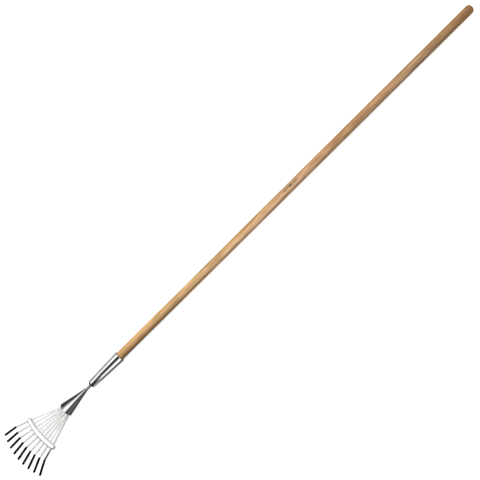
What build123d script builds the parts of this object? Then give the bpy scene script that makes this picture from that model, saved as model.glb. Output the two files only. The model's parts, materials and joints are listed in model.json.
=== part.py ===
"""Long-handled leaf rake: wooden handle, steel socket, flared ferrule and nine wire tines.

Millimetres, +Z up. The origin is on the handle's axis at the mouth of the socket, +X runs
up the handle to the grip end, the head is towards -X and the tine tips point down, -Z.
"""

import os
from math import cos, degrees, radians, sin, sqrt

from build123d import *

os.makedirs("parts", exist_ok=True)

# handle
HANDLE_D = 25.0
HANDLE_LENGTH = 1333.5
HANDLE_END_R = 11.5
FIT_GAP = 0.1

# socket, a tapered cup closed at the head end, drawn in over its last part
SOCKET_LENGTH = 113.0
SOCKET_MOUTH_D = 32.2
SOCKET_WAIST_X = -73.0
SOCKET_WAIST_D = 26.4
SOCKET_END_D = 22.8
SOCKET_WALL = 3.5
SOCKET_FLOOR = 6.0
SOCKET_END_R = 7.5
SOCKET_LIP = 0.8

# screw that keeps the handle in the socket, on the underside
SCREW_X = -32.0
SCREW_SHANK_D = 4.0
SCREW_LENGTH = 14.0
SCREW_POINT = 3.0
SCREW_HEAD_D = 8.0
SCREW_HEAD_H = 2.4
SCREW_RECESS = 1.2
SCREW_RECESS_WIDTH = 1.1

# neck rod between socket and ferrule, riveted over inside the socket
NECK_D = 10.8
NECK_END_X = -155.0
SPIGOT_D = 7.0
RIVET_D = 11.0
RIVET_H = 2.5

# ferrule, a flattened and flaring cone, with the mouth cut to an arc
FERRULE_WALL = 1.0
FERRULE_RIM_X = -215.0
FERRULE_SECTIONS = (
    (-129.0, 10.8, 10.8),
    (-155.0, 20.2, 12.2),
    (-185.0, 33.2, 14.4),
    (-218.0, 46.8, 16.8),
)

# fan of nine wires, counted from the -Y side, their bent tips dipped in a thicker coat
TINE_COUNT = 9
TINE_D = 5.2
DIPPED_D = 6.6
FAN_APEX_X = -171.7
FAN_PIVOT_X = -208.0
FAN_RISE = 3.5
INNER_PITCH = 5.1
OUTER_PITCH = 4.5
ROOT_RADIUS = 31.0
ROOT_LAYER_Z = 2.3
BEND_ARC_X = -216.5
BEND_ARC_R = 142.0
TIP_ANGLE = 31.0
TIP_LENGTH = 50.0
BEND_RADIUS = 9.0
KINK_RADIUS = 60.0
TIP_EDGE_R = 1.0

# spacer bar, a pressed channel with closed round ends
SPACER_ARC_X = -93.7
SPACER_ARC_R = 215.0
SPACER_WIDTH = 13.7
SPACER_HALF_LENGTH = 58.0
SPACER_TOP_Z = 6.5
SPACER_HEIGHT = 10.5
SPACER_SHEET = 1.4
SPACER_EDGE_R = 4.5
HOLE_GAP = 0.15


def socket_radius(x):
    """Outer radius of the socket's straight taper at x."""
    return (SOCKET_MOUTH_D - (SOCKET_MOUTH_D - SOCKET_WAIST_D) * x / SOCKET_WAIST_X) / 2


def distance_to_arc(angle, start_x, start_y, centre_x, radius):
    """Length of a level line from a point, pointing to -X at the angle, up to an arc."""
    dx = start_x - centre_x
    along = dx * cos(angle) - start_y * sin(angle)
    return along + sqrt(along**2 + radius**2 - dx**2 - start_y**2)


def tine_corners(number):
    """Root, kink at the spacer bar, bend and tip of a tine's centre line in the level fan."""
    step = number - (TINE_COUNT + 1) / 2
    inner = radians(INNER_PITCH * step)
    outer = radians(OUTER_PITCH * step)
    layer = ROOT_LAYER_Z if number % 2 == 0 else -ROOT_LAYER_Z
    root = (FAN_APEX_X - ROOT_RADIUS * cos(inner), ROOT_RADIUS * sin(inner), layer)
    reach = distance_to_arc(inner, FAN_APEX_X, 0, SPACER_ARC_X, SPACER_ARC_R)
    kink = (FAN_APEX_X - reach * cos(inner), reach * sin(inner), 0)
    shaft = distance_to_arc(outer, kink[0], kink[1], BEND_ARC_X, BEND_ARC_R)
    bend = (kink[0] - shaft * cos(outer), kink[1] + shaft * sin(outer), 0)
    level = TIP_LENGTH * cos(radians(TIP_ANGLE))
    drop = TIP_LENGTH * sin(radians(TIP_ANGLE))
    tip = (bend[0] - level * cos(outer), bend[1] + level * sin(outer), -drop)
    return root, kink, bend, tip


fan_set = Location((FAN_PIVOT_X, 0, 0), (0, FAN_RISE, 0)) * Location((-FAN_PIVOT_X, 0, 0))
floor_x = SOCKET_FLOOR - SOCKET_LENGTH
rivet_x = floor_x + RIVET_H
tang_x = rivet_x + 3.0
mouth_bore_r = SOCKET_MOUTH_D / 2 - SOCKET_WALL
floor_bore_r = SOCKET_END_D / 2 - SOCKET_WALL
tang_r = floor_bore_r + (mouth_bore_r - floor_bore_r) * (floor_x - tang_x) / floor_x
screw_seat_z = -socket_radius(SCREW_X + SCREW_HEAD_D / 2) - FIT_GAP

with BuildPart() as handle:
    with BuildSketch(Plane.XZ):
        with BuildLine():
            Polyline(
                (tang_x, 0),
                (tang_x, tang_r - FIT_GAP),
                (0, HANDLE_D / 2),
                (HANDLE_LENGTH, HANDLE_D / 2),
                (HANDLE_LENGTH, 0),
                close=True,
            )
        make_face()
    revolve(axis=Axis.X)
    fillet(handle.edges().filter_by(GeomType.CIRCLE).sort_by(Axis.X)[-1], HANDLE_END_R)
    chamfer(handle.edges().filter_by(GeomType.CIRCLE).sort_by(Axis.X)[0], 1.5)
    with Locations(Location((SCREW_X, 0, 0), (180, 0, 0))):
        Cylinder(
            SCREW_SHANK_D / 2 + FIT_GAP,
            HANDLE_D,
            align=(Align.CENTER, Align.CENTER, Align.MIN),
            mode=Mode.SUBTRACT,
        )
handle.part.label = "handle"
export_step(handle.part, "parts/handle.step")

with BuildPart() as socket:
    with BuildSketch(Plane.XZ):
        with BuildLine():
            taper = Line((0, SOCKET_MOUTH_D / 2), (SOCKET_WAIST_X, SOCKET_WAIST_D / 2))
            drawn_in = TangentArc(
                taper @ 1,
                (-SOCKET_LENGTH, SOCKET_END_D / 2),
                tangent=taper % 1,
            )
            Polyline(
                drawn_in @ 1,
                (-SOCKET_LENGTH, SPIGOT_D / 2 + FIT_GAP),
                (floor_x, SPIGOT_D / 2 + FIT_GAP),
                (floor_x, floor_bore_r),
                (0, mouth_bore_r),
                (0, SOCKET_MOUTH_D / 2),
            )
        make_face()
    revolve(axis=Axis.X)
    rims = socket.edges().filter_by(GeomType.CIRCLE).group_by(Axis.X)
    fillet(rims[0].sort_by(SortBy.RADIUS)[-1], SOCKET_END_R)
    fillet(rims[-1].sort_by(SortBy.RADIUS)[-1], SOCKET_LIP)
    with Locations(Location((SCREW_X, 0, 0), (180, 0, 0))):
        Cylinder(
            SCREW_SHANK_D / 2 + FIT_GAP,
            SOCKET_MOUTH_D,
            align=(Align.CENTER, Align.CENTER, Align.MIN),
            mode=Mode.SUBTRACT,
        )
socket.part.label = "socket"
export_step(socket.part, "parts/socket.step")

with BuildPart() as socket_screw:
    with BuildSketch(Plane.XZ):
        with BuildLine():
            Polyline(
                (0, screw_seat_z + SCREW_LENGTH),
                (SCREW_SHANK_D / 2, screw_seat_z + SCREW_LENGTH - SCREW_POINT),
                (SCREW_SHANK_D / 2, screw_seat_z),
                (SCREW_HEAD_D / 2, screw_seat_z),
                (SCREW_HEAD_D / 2, screw_seat_z - SCREW_HEAD_H),
                (0, screw_seat_z - SCREW_HEAD_H),
                close=True,
            )
        make_face()
    revolve(axis=Axis.Z)
    head_edge = socket_screw.edges().filter_by(GeomType.CIRCLE).sort_by(Axis.Z)[0]
    fillet(head_edge, SCREW_HEAD_H * 0.75)
    with Locations((0, 0, screw_seat_z - SCREW_HEAD_H)):
        Box(SCREW_HEAD_D * 0.6, SCREW_RECESS_WIDTH, 2 * SCREW_RECESS, mode=Mode.SUBTRACT)
        Box(SCREW_RECESS_WIDTH, SCREW_HEAD_D * 0.6, 2 * SCREW_RECESS, mode=Mode.SUBTRACT)
socket_screw.part = socket_screw.part.moved(Location((SCREW_X, 0, 0)))
socket_screw.part.label = "socket_screw"
export_step(socket_screw.part, "parts/socket_screw.step")

plug_r = NECK_D / 2 - FERRULE_WALL - FIT_GAP
with BuildPart() as neck_rod:
    with BuildSketch(Plane.XZ):
        with BuildLine():
            Polyline(
                (rivet_x, 0),
                (rivet_x, RIVET_D / 2),
                (floor_x + FIT_GAP, RIVET_D / 2),
                (floor_x + FIT_GAP, SPIGOT_D / 2),
                (-SOCKET_LENGTH - FIT_GAP, SPIGOT_D / 2),
                (-SOCKET_LENGTH - FIT_GAP, NECK_D / 2),
                (FERRULE_SECTIONS[0][0] + FIT_GAP, NECK_D / 2),
                (FERRULE_SECTIONS[0][0] + FIT_GAP, plug_r),
                (NECK_END_X, plug_r),
                (NECK_END_X, 0),
                close=True,
            )
        make_face()
    revolve(axis=Axis.X)
    ends = neck_rod.edges().filter_by(GeomType.CIRCLE).sort_by(Axis.X)
    fillet(ends[-1], 1.5)
    chamfer(ends[0], 1.0)
neck_rod.part.label = "neck_rod"
export_step(neck_rod.part, "parts/neck_rod.step")

with BuildPart() as ferrule:
    for x, width, height in FERRULE_SECTIONS:
        with BuildSketch(Plane.YZ.offset(x)):
            Ellipse(width / 2, height / 2)
    loft()
    for x, width, height in FERRULE_SECTIONS:
        with BuildSketch(Plane.YZ.offset(x)):
            Ellipse(width / 2 - FERRULE_WALL, height / 2 - FERRULE_WALL)
    loft(mode=Mode.SUBTRACT)
    with Locations((FAN_APEX_X, 0, 0)):
        Cylinder(
            FAN_APEX_X - FERRULE_RIM_X,
            2 * FERRULE_SECTIONS[-1][2],
            mode=Mode.INTERSECT,
        )
ferrule.part.label = "ferrule"
export_step(ferrule.part, "parts/ferrule.step")

for number in range(1, TINE_COUNT + 1):
    with BuildPart() as tine:
        with BuildLine() as centre_line:
            FilletPolyline(tine_corners(number), radius=(KINK_RADIUS, BEND_RADIUS))
        with BuildSketch(Plane(centre_line.line @ 0, z_dir=centre_line.line % 0)):
            Circle(TINE_D / 2)
        sweep()
        bend_and_tip = Wire(centre_line.edges().sort_by(Axis.X)[:2])
        with BuildSketch(Plane(bend_and_tip @ 0, z_dir=bend_and_tip % 0)):
            Circle(DIPPED_D / 2)
        sweep(path=bend_and_tip)
        fillet(tine.edges().filter_by(GeomType.CIRCLE).sort_by(Axis.Z)[0], TIP_EDGE_R)
    tine.part = tine.part.moved(fan_set)
    tine.part.label = f"tine_{number}"
    export_step(tine.part, f"parts/tine_{number}.step")

half_angle = degrees((SPACER_HALF_LENGTH - SPACER_WIDTH / 2) / SPACER_ARC_R)
with BuildPart() as spacer_bar:
    with BuildSketch(Plane.XY.offset(SPACER_TOP_Z)):
        with BuildLine() as rib:
            CenterArc((SPACER_ARC_X, 0), SPACER_ARC_R, 180 - half_angle, 2 * half_angle)
        SlotArc(rib.edge(), SPACER_WIDTH)
    extrude(amount=-SPACER_HEIGHT)
    fillet(spacer_bar.edges().group_by(Axis.Z)[-1], SPACER_EDGE_R)
    offset(amount=-SPACER_SHEET, openings=spacer_bar.faces().sort_by(Axis.Z)[0])
    for number in range(1, TINE_COUNT + 1):
        with BuildLine() as centre_line:
            FilletPolyline(tine_corners(number), radius=(KINK_RADIUS, BEND_RADIUS))
        with BuildSketch(Plane(centre_line.line @ 0, z_dir=centre_line.line % 0)):
            Circle(TINE_D / 2 + HOLE_GAP)
        sweep(mode=Mode.SUBTRACT)
spacer_bar.part = spacer_bar.part.moved(fan_set)
spacer_bar.part.label = "spacer_bar"
export_step(spacer_bar.part, "parts/spacer_bar.step")
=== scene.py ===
"""Looks for the long-handled leaf rake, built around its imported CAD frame.

The CAD nodes carry every shape. This script gives them procedural wood and steel, lights them
with a soft studio, and looks down on the rake with its handle running to the upper right.
Lengths are in metres, and colours are linear.
"""

import json
import math

import bpy
from mathutils import Matrix, Vector


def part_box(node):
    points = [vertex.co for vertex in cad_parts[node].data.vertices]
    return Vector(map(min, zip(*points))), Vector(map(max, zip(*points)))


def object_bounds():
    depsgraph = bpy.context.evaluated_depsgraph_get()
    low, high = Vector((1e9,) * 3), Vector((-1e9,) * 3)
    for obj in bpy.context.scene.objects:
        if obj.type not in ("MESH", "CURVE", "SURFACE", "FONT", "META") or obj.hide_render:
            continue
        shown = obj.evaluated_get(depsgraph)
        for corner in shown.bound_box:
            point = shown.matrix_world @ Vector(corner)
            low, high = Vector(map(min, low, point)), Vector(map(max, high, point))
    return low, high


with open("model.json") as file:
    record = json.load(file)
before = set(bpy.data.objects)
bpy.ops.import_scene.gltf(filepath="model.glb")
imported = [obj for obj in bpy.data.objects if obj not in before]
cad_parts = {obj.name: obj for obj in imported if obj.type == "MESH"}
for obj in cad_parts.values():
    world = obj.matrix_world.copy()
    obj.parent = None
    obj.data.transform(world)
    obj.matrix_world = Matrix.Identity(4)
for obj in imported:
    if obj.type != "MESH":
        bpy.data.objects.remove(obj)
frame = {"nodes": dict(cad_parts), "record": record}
cad_box = [list(corner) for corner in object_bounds()]


# ---------------------------------------------------------------- node graphs


class Graph:
    """A small hand for building node trees: every method returns an output socket."""

    def __init__(self, tree):
        self.tree = tree

    def add(self, kind, inputs=None, output=0, **settings):
        node = self.tree.nodes.new(kind)
        for name, value in settings.items():
            setattr(node, name, value)
        for name, value in (inputs or {}).items():
            self.feed(node.inputs[name], value)
        return node.outputs[output]

    def feed(self, socket, value):
        if isinstance(value, bpy.types.NodeSocket):
            self.tree.links.new(value, socket)
        else:
            socket.default_value = value

    def math(self, operation, *values):
        return self.add("ShaderNodeMath", dict(enumerate(values)), operation=operation)

    def product(self, first, *others):
        for other in others:
            first = self.math("MULTIPLY", first, other)
        return first

    def distance(self, a, b):
        """The length of the flat vector (a, b)."""
        squares = self.math("ADD", self.math("POWER", a, 2.0), self.math("POWER", b, 2.0))
        return self.math("SQRT", squares)

    def between(self, factor, a, b):
        """The number that lies factor of the way from a to b."""
        return self.math("MULTIPLY_ADD", factor, b - a, a)

    def rise(self, value, low, high, start=0.0, end=1.0):
        """Goes smoothly from start to end while value goes from low to high."""
        inputs = {"Value": value, "From Min": low, "From Max": high, "To Min": start, "To Max": end}
        return self.add("ShaderNodeMapRange", inputs, interpolation_type="SMOOTHSTEP")

    def below(self, value, limit, soft):
        """1 below the limit, 0 above it, with a soft edge."""
        return self.rise(value, limit - soft, limit + soft, 1.0, 0.0)

    def band(self, value, low, high, soft):
        """1 between low and high, 0 outside, with soft edges."""
        return self.product(self.rise(value, low - soft, low + soft), self.below(value, high, soft))

    def split(self, vector):
        node = self.tree.nodes.new("ShaderNodeSeparateXYZ")
        self.tree.links.new(vector, node.inputs[0])
        return node.outputs[0], node.outputs[1], node.outputs[2]

    def grain(self, place, along, across, detail, roughness):
        """Noise with its own number of changes per metre along X and across it."""
        stretch = {0: place, 1: (along, across, across)}
        vector = self.add("ShaderNodeVectorMath", stretch, operation="MULTIPLY")
        inputs = {"Vector": vector, "Scale": 1.0, "Detail": detail, "Roughness": roughness}
        return self.add("ShaderNodeTexNoise", inputs)

    def mix(self, factor, a, b, blend="MIX"):
        node = self.tree.nodes.new("ShaderNodeMix")
        node.data_type = "RGBA"
        node.blend_type = blend
        for socket, value in ((node.inputs[0], factor), (node.inputs[6], a), (node.inputs[7], b)):
            if isinstance(value, tuple):
                value = (*value, 1.0)
            self.feed(socket, value)
        return node.outputs[2]

    def tint(self, colour, tone, factor=1.0):
        """The colour multiplied by a tone, as far as factor says."""
        return self.mix(factor, colour, tone, "MULTIPLY")

    def ramp(self, factor, stops):
        """stops: (position, grey or rgb) pairs."""
        node = self.tree.nodes.new("ShaderNodeValToRGB")
        self.tree.links.new(factor, node.inputs[0])
        elements = node.color_ramp.elements
        while len(elements) < len(stops):
            elements.new(0.5)
        for element, (position, colour) in zip(elements, stops):
            element.position = position
            rgb = colour if isinstance(colour, tuple) else (colour,) * 3
            element.color = (*rgb, 1.0)
        return node.outputs[0]


def material(name):
    """A new material, its graph, its Principled node and its object coordinates."""
    made = bpy.data.materials.new(name)
    made.use_nodes = True
    graph = Graph(made.node_tree)
    surface = made.node_tree.nodes["Principled BSDF"]
    place = graph.add("ShaderNodeTexCoord", output=3)
    return made, graph, surface, place


def set_inputs(graph, surface, **values):
    for name, value in values.items():
        graph.feed(surface.inputs[name.replace("_", " ")], value)


def bump(graph, surface, height, distance, strength):
    inputs = {"Strength": strength, "Distance": distance, "Height": height}
    graph.feed(surface.inputs["Normal"], graph.add("ShaderNodeBump", inputs))


# --------------------------------------------------------------- wooden handle

WOOD_LENGTH, WOOD_RADIUS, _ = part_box("handle")[1]

WOOD_PALE = (0.66, 0.455, 0.235)
WOOD_MID = (0.55, 0.345, 0.150)
WOOD_LATE = (0.36, 0.190, 0.070)
WOOD_PORE = (0.17, 0.080, 0.030)
WOOD_CLOUD = (0.74, 0.70, 0.64)

# each grain: changes per metre along the handle and across it, detail and roughness
RING_DRIFT = (2.2, 26.0, 2.0, 0.5)
RING_WOBBLE = (5.0, 60.0, 3.0, 0.5)
FIBRES = (30.0, 1500.0, 4.0, 0.6)
PORES = (110.0, 2600.0, 1.0, 0.5)
STREAKS = (10.0, 260.0, 2.0, 0.6)
CLOUDS = (22.0, 120.0, 3.0, 0.6)
# the noise levels between which each of them sets in
PALE_LEVELS = (0.30, 0.70)
FIBRE_LEVELS = (0.40, 0.75)
PORE_LEVELS = (0.66, 0.74)
CLOUD_LEVELS = (0.36, 0.64)

# the rings' centre lies outside the handle, so they run along its surface
PITH_Y = -0.034
PITH_Z = -0.021
RINGS_PER_METRE = 330.0
DRIFT_IN_RINGS = 7.0
WOBBLE_IN_RINGS = 1.6
# how dark the wood is from one ring to the next
RING_PROFILE = ((0.0, 0.0), (0.55, 0.15), (0.86, 1.0), (0.93, 0.75), (1.0, 0.0))
RING_DEPTH = 0.58
FIBRE_DEPTH = 0.22
PORE_DEPTH = 0.55
CLOUD_DEPTH = 0.90
# pores are most open just after a ring's start, and this share stays open in the rest of it
EARLY_WOOD = 0.25
LATE_PORES = 0.25
STREAK_TONES = ((0.38, (1.14, 1.13, 1.13)), (0.62, (0.83, 0.76, 0.68)))

# the wood's change of tone from the socket, 0, to the grip end, 1
WOOD_TONES = (
    (0.00, (0.94, 0.87, 0.71)),
    (0.06, (1.08, 1.05, 0.90)),
    (0.14, (1.07, 1.06, 1.01)),
    (0.24, (1.01, 1.06, 1.12)),
    (0.33, (1.16, 1.18, 1.30)),
    (0.42, (1.09, 1.07, 1.24)),
    (0.56, (0.79, 0.73, 0.79)),
    (0.64, (0.70, 0.62, 0.58)),
    (0.74, (0.73, 0.69, 0.72)),
    (0.84, (0.69, 0.69, 0.80)),
    (0.93, (0.56, 0.51, 0.45)),
    (0.99, (0.49, 0.39, 0.26)),
)
# painted shade that makes one side of the handle darker: a tone, then the fades that bound it,
# each from where the shade is absent to where it is full
PAINTED_SIDE_SHADES = (
    ((0.62, 0.55, 0.42), ("y", -0.0060, -0.0125), ("x", 0.74, 0.58)),
    ((0.73, 0.65, 0.48), ("y", -0.0040, 0.0040), ("x", 0.28, 0.44), ("x", 0.74, 0.58)),
    ((0.60, 0.57, 0.51), ("y", 0.0080, -0.0120), ("x", 0.32, 0.16)),
    ((0.96, 0.90, 0.76), ("y", -0.0080, 0.0020), ("x", 0.64, 0.74)),
)

VARNISH_SMOOTH = 0.26
VARNISH_ROUGH = 0.42
WORN_FROM_X = 1.02
WORN_TO_X = 1.30
WORN_ROUGHER = 0.10
COAT_WEIGHT = 0.35
COAT_ROUGHNESS = 0.18
GRAIN_HEIGHT = 0.00012
GRAIN_RELIEF = 0.5
FIBRE_RELIEF = 0.5

# the printed mark: its middle and half length along the handle, then its leaf and its bars
PRINT_GREEN = (0.018, 0.045, 0.030)
PRINT_DEPTH = 0.92
PRINT_AT = 0.657
PRINT_HALF = 0.026
PRINT_EDGE = 0.0004
LEAF_HALF_LENGTH = 0.00714
LEAF_HALF_WIDTH = 0.0032
LEAF_EDGE = 0.00025
VEIN_HALF_WIDTH = 0.00018
VEIN_EDGE = 0.00006
BARS_FROM = 0.0085
BARS_PER_METRE = 330.0
BAR_START = 0.14
BAR_END = 0.80
BAR_END_EDGE = 0.05
BAR_HALF_HEIGHT = 0.0016
BAR_SIDE_EDGE = 0.00015


def ash_wood():
    """Varnished ash: rings cut along their length, fine open pores, browner towards the grip, with
    painted shade on its sides.
    """
    made, g, surface, place = material("ash_wood")
    x, y, z = g.split(place)
    drift = g.grain(place, *RING_DRIFT)
    wobble = g.grain(place, *RING_WOBBLE)
    from_pith = g.distance(g.math("SUBTRACT", y, PITH_Y), g.math("SUBTRACT", z, PITH_Z))
    rings = g.math("MULTIPLY", drift, DRIFT_IN_RINGS)
    rings = g.math("MULTIPLY_ADD", from_pith, RINGS_PER_METRE, rings)
    rings = g.math("MULTIPLY_ADD", wobble, WOBBLE_IN_RINGS, rings)
    phase = g.math("FRACT", rings)
    fibre = g.grain(place, *FIBRES)
    pore = g.rise(g.grain(place, *PORES), *PORE_LEVELS)
    open_pore = g.product(pore, g.rise(phase, 0.0, EARLY_WOOD, 1.0, LATE_PORES))
    cloud = g.rise(g.grain(place, *CLOUDS), *CLOUD_LEVELS, 0.0, CLOUD_DEPTH)

    colour = g.mix(g.rise(drift, *PALE_LEVELS), WOOD_MID, WOOD_PALE)
    colour = g.mix(g.product(g.ramp(phase, RING_PROFILE), RING_DEPTH), colour, WOOD_LATE)
    colour = g.mix(g.rise(fibre, *FIBRE_LEVELS, 0.0, FIBRE_DEPTH), colour, WOOD_LATE)
    colour = g.mix(g.product(open_pore, PORE_DEPTH), colour, WOOD_PORE)
    colour = g.tint(colour, g.ramp(g.math("DIVIDE", x, WOOD_LENGTH), WOOD_TONES))
    axes = {"x": x, "y": y}
    # painted shade: one side of the handle is made darker, patch by patch
    for tone, *fades in PAINTED_SIDE_SHADES:
        side_shade = g.product(*(g.rise(axes[axis], absent, full) for axis, absent, full in fades))
        colour = g.tint(colour, tone, side_shade)
    colour = g.tint(colour, g.ramp(g.grain(place, *STREAKS), STREAK_TONES))
    colour = g.tint(colour, WOOD_CLOUD, cloud)
    colour = g.mix(printed_mark(g, x, y, z), colour, PRINT_GREEN)

    rough = g.between(fibre, VARNISH_SMOOTH, VARNISH_ROUGH)
    rough = g.math("ADD", rough, g.rise(x, WORN_FROM_X, WORN_TO_X, 0.0, WORN_ROUGHER))
    set_inputs(g, surface, Base_Color=colour, Roughness=rough)
    set_inputs(g, surface, Coat_Weight=COAT_WEIGHT, Coat_Roughness=COAT_ROUGHNESS)
    relief = g.math("SUBTRACT", g.product(fibre, FIBRE_RELIEF), open_pore)
    bump(g, surface, relief, GRAIN_HEIGHT, GRAIN_RELIEF)
    return made


def printed_mark(g, x, y, z):
    """A plain leaf between two rows of short bars, printed along the handle's top."""
    reach = g.math("ABSOLUTE", g.math("SUBTRACT", x, PRINT_AT))
    aside = g.math("ABSOLUTE", g.product(g.math("ARCTAN2", y, z), WOOD_RADIUS))
    in_bar = g.math("FRACT", g.product(reach, BARS_PER_METRE))
    bars = g.product(
        g.band(in_bar, BAR_START, BAR_END, BAR_END_EDGE),
        g.band(reach, BARS_FROM, PRINT_HALF, PRINT_EDGE),
        g.below(aside, BAR_HALF_HEIGHT, BAR_SIDE_EDGE),
    )
    slimmer = g.math("POWER", g.math("DIVIDE", reach, LEAF_HALF_LENGTH), 2.0)
    half_width = g.between(slimmer, LEAF_HALF_WIDTH, 0.0)
    leaf = g.rise(g.math("SUBTRACT", half_width, aside), 0.0, LEAF_EDGE)
    vein = g.below(aside, VEIN_HALF_WIDTH, VEIN_EDGE)
    veined_leaf = g.product(leaf, g.math("SUBTRACT", 1.0, vein))
    return g.product(g.math("MAXIMUM", bars, veined_leaf), PRINT_DEPTH)


# ---------------------------------------------------------------------- steel

# each grain: changes per metre along the rake and across it, detail and roughness
POLISHING_LINES = (9.0, 900.0, 5.0, 0.65)
DRAWING_LINES = (30.0, 600.0, 5.0, 0.65)
SMEARS = (42.0, 42.0, 3.0, 0.55)
SCUFFS = (260.0, 700.0, 2.0, 0.5)
# the noise levels between which smears and scuffs set in
SMEAR_LEVELS = (0.35, 0.72)
SCUFF_LEVELS = (0.66, 0.76)
SCUFF_DEPTH = 0.25
LINE_HEIGHT = 0.00002
LINE_RELIEF = 0.35

# each steel: its pale and dark colours, its least and most roughness, its metallic share and the
# relief of its polishing lines
STEELS = {
    "polished_steel": ((0.95, 0.96, 0.97), (0.84, 0.86, 0.88), (0.03, 0.07), 1.0, 0.05),
    "screw_steel": ((0.62, 0.62, 0.63), (0.42, 0.42, 0.43), (0.22, 0.40), 1.0, LINE_RELIEF),
    "ferrule_steel": ((0.93, 0.95, 0.97), (0.74, 0.79, 0.83), (0.04, 0.09), 1.0, 0.20),
    "spacer_steel": ((0.96, 0.965, 0.97), (0.88, 0.89, 0.90), (0.10, 0.20), 0.8, LINE_RELIEF),
}

WIRE_PALE = (0.87, 0.865, 0.85)
WIRE_DARK = (0.75, 0.745, 0.73)
WIRE_ROUGH = (0.26, 0.38)
WIRE_METAL = 0.42
WIRE_SPECULAR = 0.5
TIP_BLACK = (0.003, 0.0033, 0.0036)
TIP_SPECULAR = 0.12
TIP_ROUGHER = 0.15

# the wires' lines meet at the fan's apex, and the first wire lies beyond this slope from it
FAN_APEX_X = -0.1717
FIRST_WIRE_SLOPE = 0.325
FIRST_WIRE_EDGE = 0.001
# the bends lie on an arc about this centre, and these are distances from it
BEND_CENTRE_X = -0.2165
# the wire is black from here out to its tips
BLACK_TIP_FROM = 0.1386
BLACK_TIP_TO = 0.1396
# the wire's colour is darker beyond these distances
WIRE_DARKER_FROM = 0.085
WIRE_DARKER_TO = 0.100
WIRE_DARKER_TONE = (0.80, 0.795, 0.78)
# painted shade on the first wire: how dark it is near the ferrule and near its bend
SHADE_FROM = 0.086
SHADE_TO = 0.130
SHADE_START = 0.30
SHADE_END = 0.95


def brushed(g, surface, place, pale, dark, roughness, relief, lines):
    """Worn steel's colour and roughness: long faint lines, cloudy smears and small scuffs."""
    smooth, dull = roughness
    line = g.grain(place, *lines)
    smear = g.grain(place, *SMEARS)
    scuff = g.rise(g.grain(place, *SCUFFS), *SCUFF_LEVELS)
    colour = g.mix(g.rise(smear, *SMEAR_LEVELS), pale, dark)
    colour = g.mix(g.product(scuff, SCUFF_DEPTH), colour, dark)
    rough = g.math("MULTIPLY_ADD", scuff, smooth, g.between(line, smooth, dull))
    bump(g, surface, line, LINE_HEIGHT, relief)
    return colour, rough


def steel(name, pale, dark, roughness, metallic, relief):
    made, g, surface, place = material(name)
    colour, rough = brushed(g, surface, place, pale, dark, roughness, relief, POLISHING_LINES)
    set_inputs(g, surface, Base_Color=colour, Roughness=rough, Metallic=metallic)
    return made


def tine_wire():
    """Bright drawn wire, black on its bent tips, with painted shade on the first wire."""
    made, g, surface, place = material("tine_wire")
    colour, rough = brushed(
        g, surface, place, WIRE_PALE, WIRE_DARK, WIRE_ROUGH, LINE_RELIEF, DRAWING_LINES
    )
    x, y, _ = g.split(place)
    reach = g.distance(g.math("SUBTRACT", x, BEND_CENTRE_X), y)
    colour = g.tint(colour, WIRE_DARKER_TONE, g.rise(reach, WIRE_DARKER_FROM, WIRE_DARKER_TO))
    from_apex = g.math("SUBTRACT", FAN_APEX_X, x)
    inside = g.math("MULTIPLY_ADD", from_apex, FIRST_WIRE_SLOPE, y)
    first_wire = g.below(inside, 0.0, FIRST_WIRE_EDGE)
    # painted shade: the first wire darkens towards its bend
    shade = g.product(first_wire, g.rise(reach, SHADE_FROM, SHADE_TO, SHADE_START, SHADE_END))
    dark = g.math("MAXIMUM", g.rise(reach, BLACK_TIP_FROM, BLACK_TIP_TO), shade)
    set_inputs(
        g,
        surface,
        Base_Color=g.mix(dark, colour, TIP_BLACK),
        Metallic=g.between(dark, WIRE_METAL, 0.0),
        Roughness=g.math("MULTIPLY_ADD", dark, TIP_ROUGHER, rough),
        Specular_IOR_Level=g.between(dark, WIRE_SPECULAR, TIP_SPECULAR),
    )
    return made


finishes = {name: steel(name, *values) for name, values in STEELS.items()}
finishes["ash_wood"] = ash_wood()
finishes["tine_wire"] = tine_wire()
for subpart in frame["record"]["subparts"]:
    for slot in frame["nodes"][subpart["node"]].material_slots:
        slot.material = finishes[subpart["material_slot"]]


# ---------------------------------------------------------------------- floor

FLOOR_HALF = 30.0
FLOOR_GAP = 0.0004
FLOOR_PALE = (0.985, 0.985, 0.985)
FLOOR_DULL = (0.97, 0.97, 0.97)
FLOOR_MOTTLE = (3.0, 3.0, 4.0, 0.5)
FLOOR_GLOW = 0.32
FLOOR_ROUGHNESS = 0.9


def make_floor():
    """A pale floor just under the rake. The rake neither mirrors it nor is lit by it."""
    quadrants = ((-1, -1), (1, -1), (1, 1), (-1, 1))
    corners = [(x * FLOOR_HALF, y * FLOOR_HALF, 0.0) for x, y in quadrants]
    mesh = bpy.data.meshes.new("floor")
    mesh.from_pydata(corners, [], [(0, 1, 2, 3)])
    floor = bpy.data.objects.new("floor", mesh)
    floor.location.z = cad_box[0][2] - FLOOR_GAP
    bpy.context.scene.collection.objects.link(floor)
    made, g, surface, place = material("floor_pale")
    colour = g.mix(g.grain(place, *FLOOR_MOTTLE), FLOOR_DULL, FLOOR_PALE)
    set_inputs(g, surface, Base_Color=colour, Roughness=FLOOR_ROUGHNESS)
    set_inputs(g, surface, Emission_Color=(1.0, 1.0, 1.0, 1.0), Emission_Strength=FLOOR_GLOW)
    mesh.materials.append(made)
    floor.visible_glossy = False
    floor.visible_diffuse = False


make_floor()


# --------------------------------------------------------------- studio light

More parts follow.
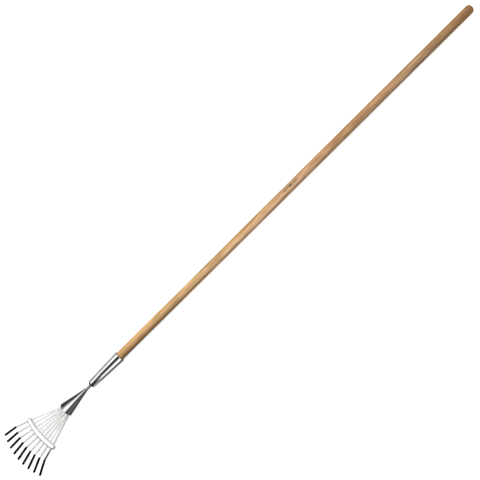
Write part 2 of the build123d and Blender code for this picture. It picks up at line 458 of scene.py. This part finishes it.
# What the steel mirrors. Each table holds the studio's brightness by the angle about the X axis,
# in degrees from straight up, positive towards +Y. The mirrored direction's slant towards +X
# tells which stretch of the rake mirrors it, so each stretch has a table of its own.
SOCKET_END_SIGHT = (
    (-180, 0.50),
    (-105, 0.45),
    (-88, 0.25),
    (-72, 0.01),
    (-40, 0.01),
    (-20, 0.05),
    (-6, 0.14),
    (6, 0.60),
    (20, 1.50),
    (34, 1.40),
    (48, 0.50),
    (58, 0.16),
    (80, 0.15),
    (95, 0.30),
    (180, 0.50),
)
SOCKET_SIGHT = (
    (-180, 0.50),
    (-150, 0.50),
    (-138, 0.08),
    (-94, 0.08),
    (-80, 1.40),
    (-58, 1.40),
    (-42, 0.45),
    (-27, 0.04),
    (8, 0.01),
    (15, 0.25),
    (22, 0.90),
    (30, 1.50),
    (40, 1.40),
    (49, 0.55),
    (60, 0.45),
    (180, 0.50),
)
NECK_SIGHT = (
    (-180, 0.60),
    (-110, 0.50),
    (-80, 0.12),
    (-30, 0.12),
    (0, 0.35),
    (30, 0.60),
    (180, 0.70),
)
FERRULE_SIGHT = (
    (-180, 0.20),
    (-100, 0.20),
    (-75, 0.06),
    (-50, 0.035),
    (-36, 0.06),
    (-25, 0.17),
    (-17, 0.13),
    (-9, 0.035),
    (-3, 0.05),
    (3, 0.14),
    (9, 0.60),
    (13, 1.50),
    (20, 1.40),
    (26, 0.50),
    (33, 0.28),
    (38, 0.11),
    (44, 0.01),
    (54, 0.01),
    (64, 0.12),
    (100, 0.20),
    (180, 0.20),
)
# mirrored mostly when the rake is seen from other angles than the scene's own camera
ROOM_SIGHT = (
    (-180, 0.45),
    (-125, 0.30),
    (-95, 0.06),
    (-65, 0.30),
    (-40, 1.00),
    (-15, 0.85),
    (5, 0.12),
    (22, 0.20),
    (40, 1.10),
    (68, 0.90),
    (90, 0.12),
    (130, 0.35),
    (180, 0.45),
)
# the slants, in degrees, between which each table takes over from the one before
STEEL_SIGHTS = (
    (-16.85, -16.50, SOCKET_SIGHT),
    (-14.60, -13.80, NECK_SIGHT),
    (-11.20, -10.30, FERRULE_SIGHT),
)
BRIGHT_FROM = 26.0
BRIGHT_TO = 34.0
BRIGHT_WALL = (0.95, 0.95, 0.95)
DARK_FROM = -28.0
DARK_TO = -40.0
DARK_CORNER = (0.02, 0.025, 0.03)
ROOM_FROM = 34.0
ROOM_TO = 39.0
# the borders between the tables shift by up to twice this many degrees of slant, and not at all
# where the angle about the axis is minus the twist
SIGHT_BOW = 1.15
SIGHT_TWIST = math.radians(13)

# the light on matt surfaces: where it is brightest, how bright it is there and at its darkest,
# and the cosine of the angle from the brightest direction at which it is at its darkest
KEY_DIRECTION = Vector((-0.1, 0.42, 0.90)).normalized()
KEY_BRIGHTEST = 1.9
KEY_DARKEST = 0.18
KEY_DARKEST_AT = -0.6
BACKDROP = (0.93, 0.93, 0.93)


def degrees_ramp(g, angle, stops):
    """A ramp over an angle in radians, with stops in degrees from -180 to 180."""
    factor = g.math("MULTIPLY_ADD", angle, 1 / (2 * math.pi), 0.5)
    return g.ramp(factor, tuple((0.5 + degree / 360, value) for degree, value in stops))


def mirrored_studio(g, direction):
    """Strip lights and dark flags, which only the steel and the varnish mirror."""
    x, y, z = g.split(direction)
    around = g.math("ARCTAN2", y, z)
    slant = g.product(g.math("ARCSINE", x), 180 / math.pi)
    bow = g.math("COSINE", g.math("ADD", around, SIGHT_TWIST))
    bowed_slant = g.math("ADD", slant, g.math("MULTIPLY_ADD", bow, SIGHT_BOW, -SIGHT_BOW))
    seen = degrees_ramp(g, around, SOCKET_END_SIGHT)
    for low, high, stops in STEEL_SIGHTS:
        seen = g.mix(g.rise(bowed_slant, low, high), seen, degrees_ramp(g, around, stops))
    seen = g.mix(g.rise(slant, BRIGHT_FROM, BRIGHT_TO), seen, BRIGHT_WALL)
    seen = g.mix(g.rise(slant, DARK_FROM, DARK_TO), seen, DARK_CORNER)
    return g.mix(g.rise(slant, ROOM_FROM, ROOM_TO), seen, degrees_ramp(g, around, ROOM_SIGHT))


def soft_light(g, direction):
    """Even light that is stronger from one side."""
    inputs = {0: direction, 1: KEY_DIRECTION}
    facing = g.add("ShaderNodeVectorMath", inputs, output=1, operation="DOT_PRODUCT")
    return g.rise(facing, KEY_DARKEST_AT, 1.0, KEY_DARKEST, KEY_BRIGHTEST)


def make_world():
    """Soft light for matt surfaces, the studio for glossy ones and a pale backdrop."""
    world = bpy.data.worlds.new("studio")
    bpy.context.scene.world = world
    world.use_nodes = True
    tree = world.node_tree
    tree.nodes.clear()
    g = Graph(tree)
    direction = g.add("ShaderNodeTexCoord", output=0)
    is_camera = g.add("ShaderNodeLightPath", output=0)
    is_glossy = g.add("ShaderNodeLightPath", output=3)
    light = g.mix(is_glossy, soft_light(g, direction), mirrored_studio(g, direction))
    light = g.mix(is_camera, light, BACKDROP)
    background = g.add("ShaderNodeBackground", {"Color": light})
    out = tree.nodes.new("ShaderNodeOutputWorld")
    tree.links.new(background, out.inputs[0])


make_world()
bpy.context.scene.view_settings.view_transform = "Standard"


# --------------------------------------------------------------------- camera

CAMERA_DISTANCE = 10.0
CAMERA_LENS = 281.0
CAMERA_SENSOR = 36.0
CAMERA_REACH = 100.0
CAMERA_ROLL = math.radians(17.5)
CAMERA_TILT = math.radians(-9.0)
HANDLE_ANGLE = math.radians(44.78)
AIM_AT = (0.477, 0.0, 0.0)
AIM_RIGHT = -0.0111
AIM_UP = -0.0192


def make_camera():
    """Above the rake, leaning to its -Y side, with the handle running to the upper right."""
    towards = Vector(
        (
            -math.sin(CAMERA_TILT),
            -math.sin(CAMERA_ROLL) * math.cos(CAMERA_TILT),
            math.cos(CAMERA_ROLL) * math.cos(CAMERA_TILT),
        )
    )
    left_of_handle = Vector((0.0, math.cos(CAMERA_ROLL), math.sin(CAMERA_ROLL)))
    up_handle = left_of_handle.cross(towards)
    right = math.cos(HANDLE_ANGLE) * up_handle - math.sin(HANDLE_ANGLE) * left_of_handle
    up = math.sin(HANDLE_ANGLE) * up_handle + math.cos(HANDLE_ANGLE) * left_of_handle
    data = bpy.data.cameras.new("camera")
    data.lens = CAMERA_LENS
    data.sensor_width = CAMERA_SENSOR
    data.clip_end = CAMERA_REACH
    camera = bpy.data.objects.new("camera", data)
    bpy.context.scene.collection.objects.link(camera)
    spot = Vector(AIM_AT) + towards * CAMERA_DISTANCE + right * AIM_RIGHT + up * AIM_UP
    turn = Matrix((right, up, towards)).transposed().to_4x4()
    camera.matrix_world = Matrix.Translation(spot) @ turn
    bpy.context.scene.camera = camera


make_camera()
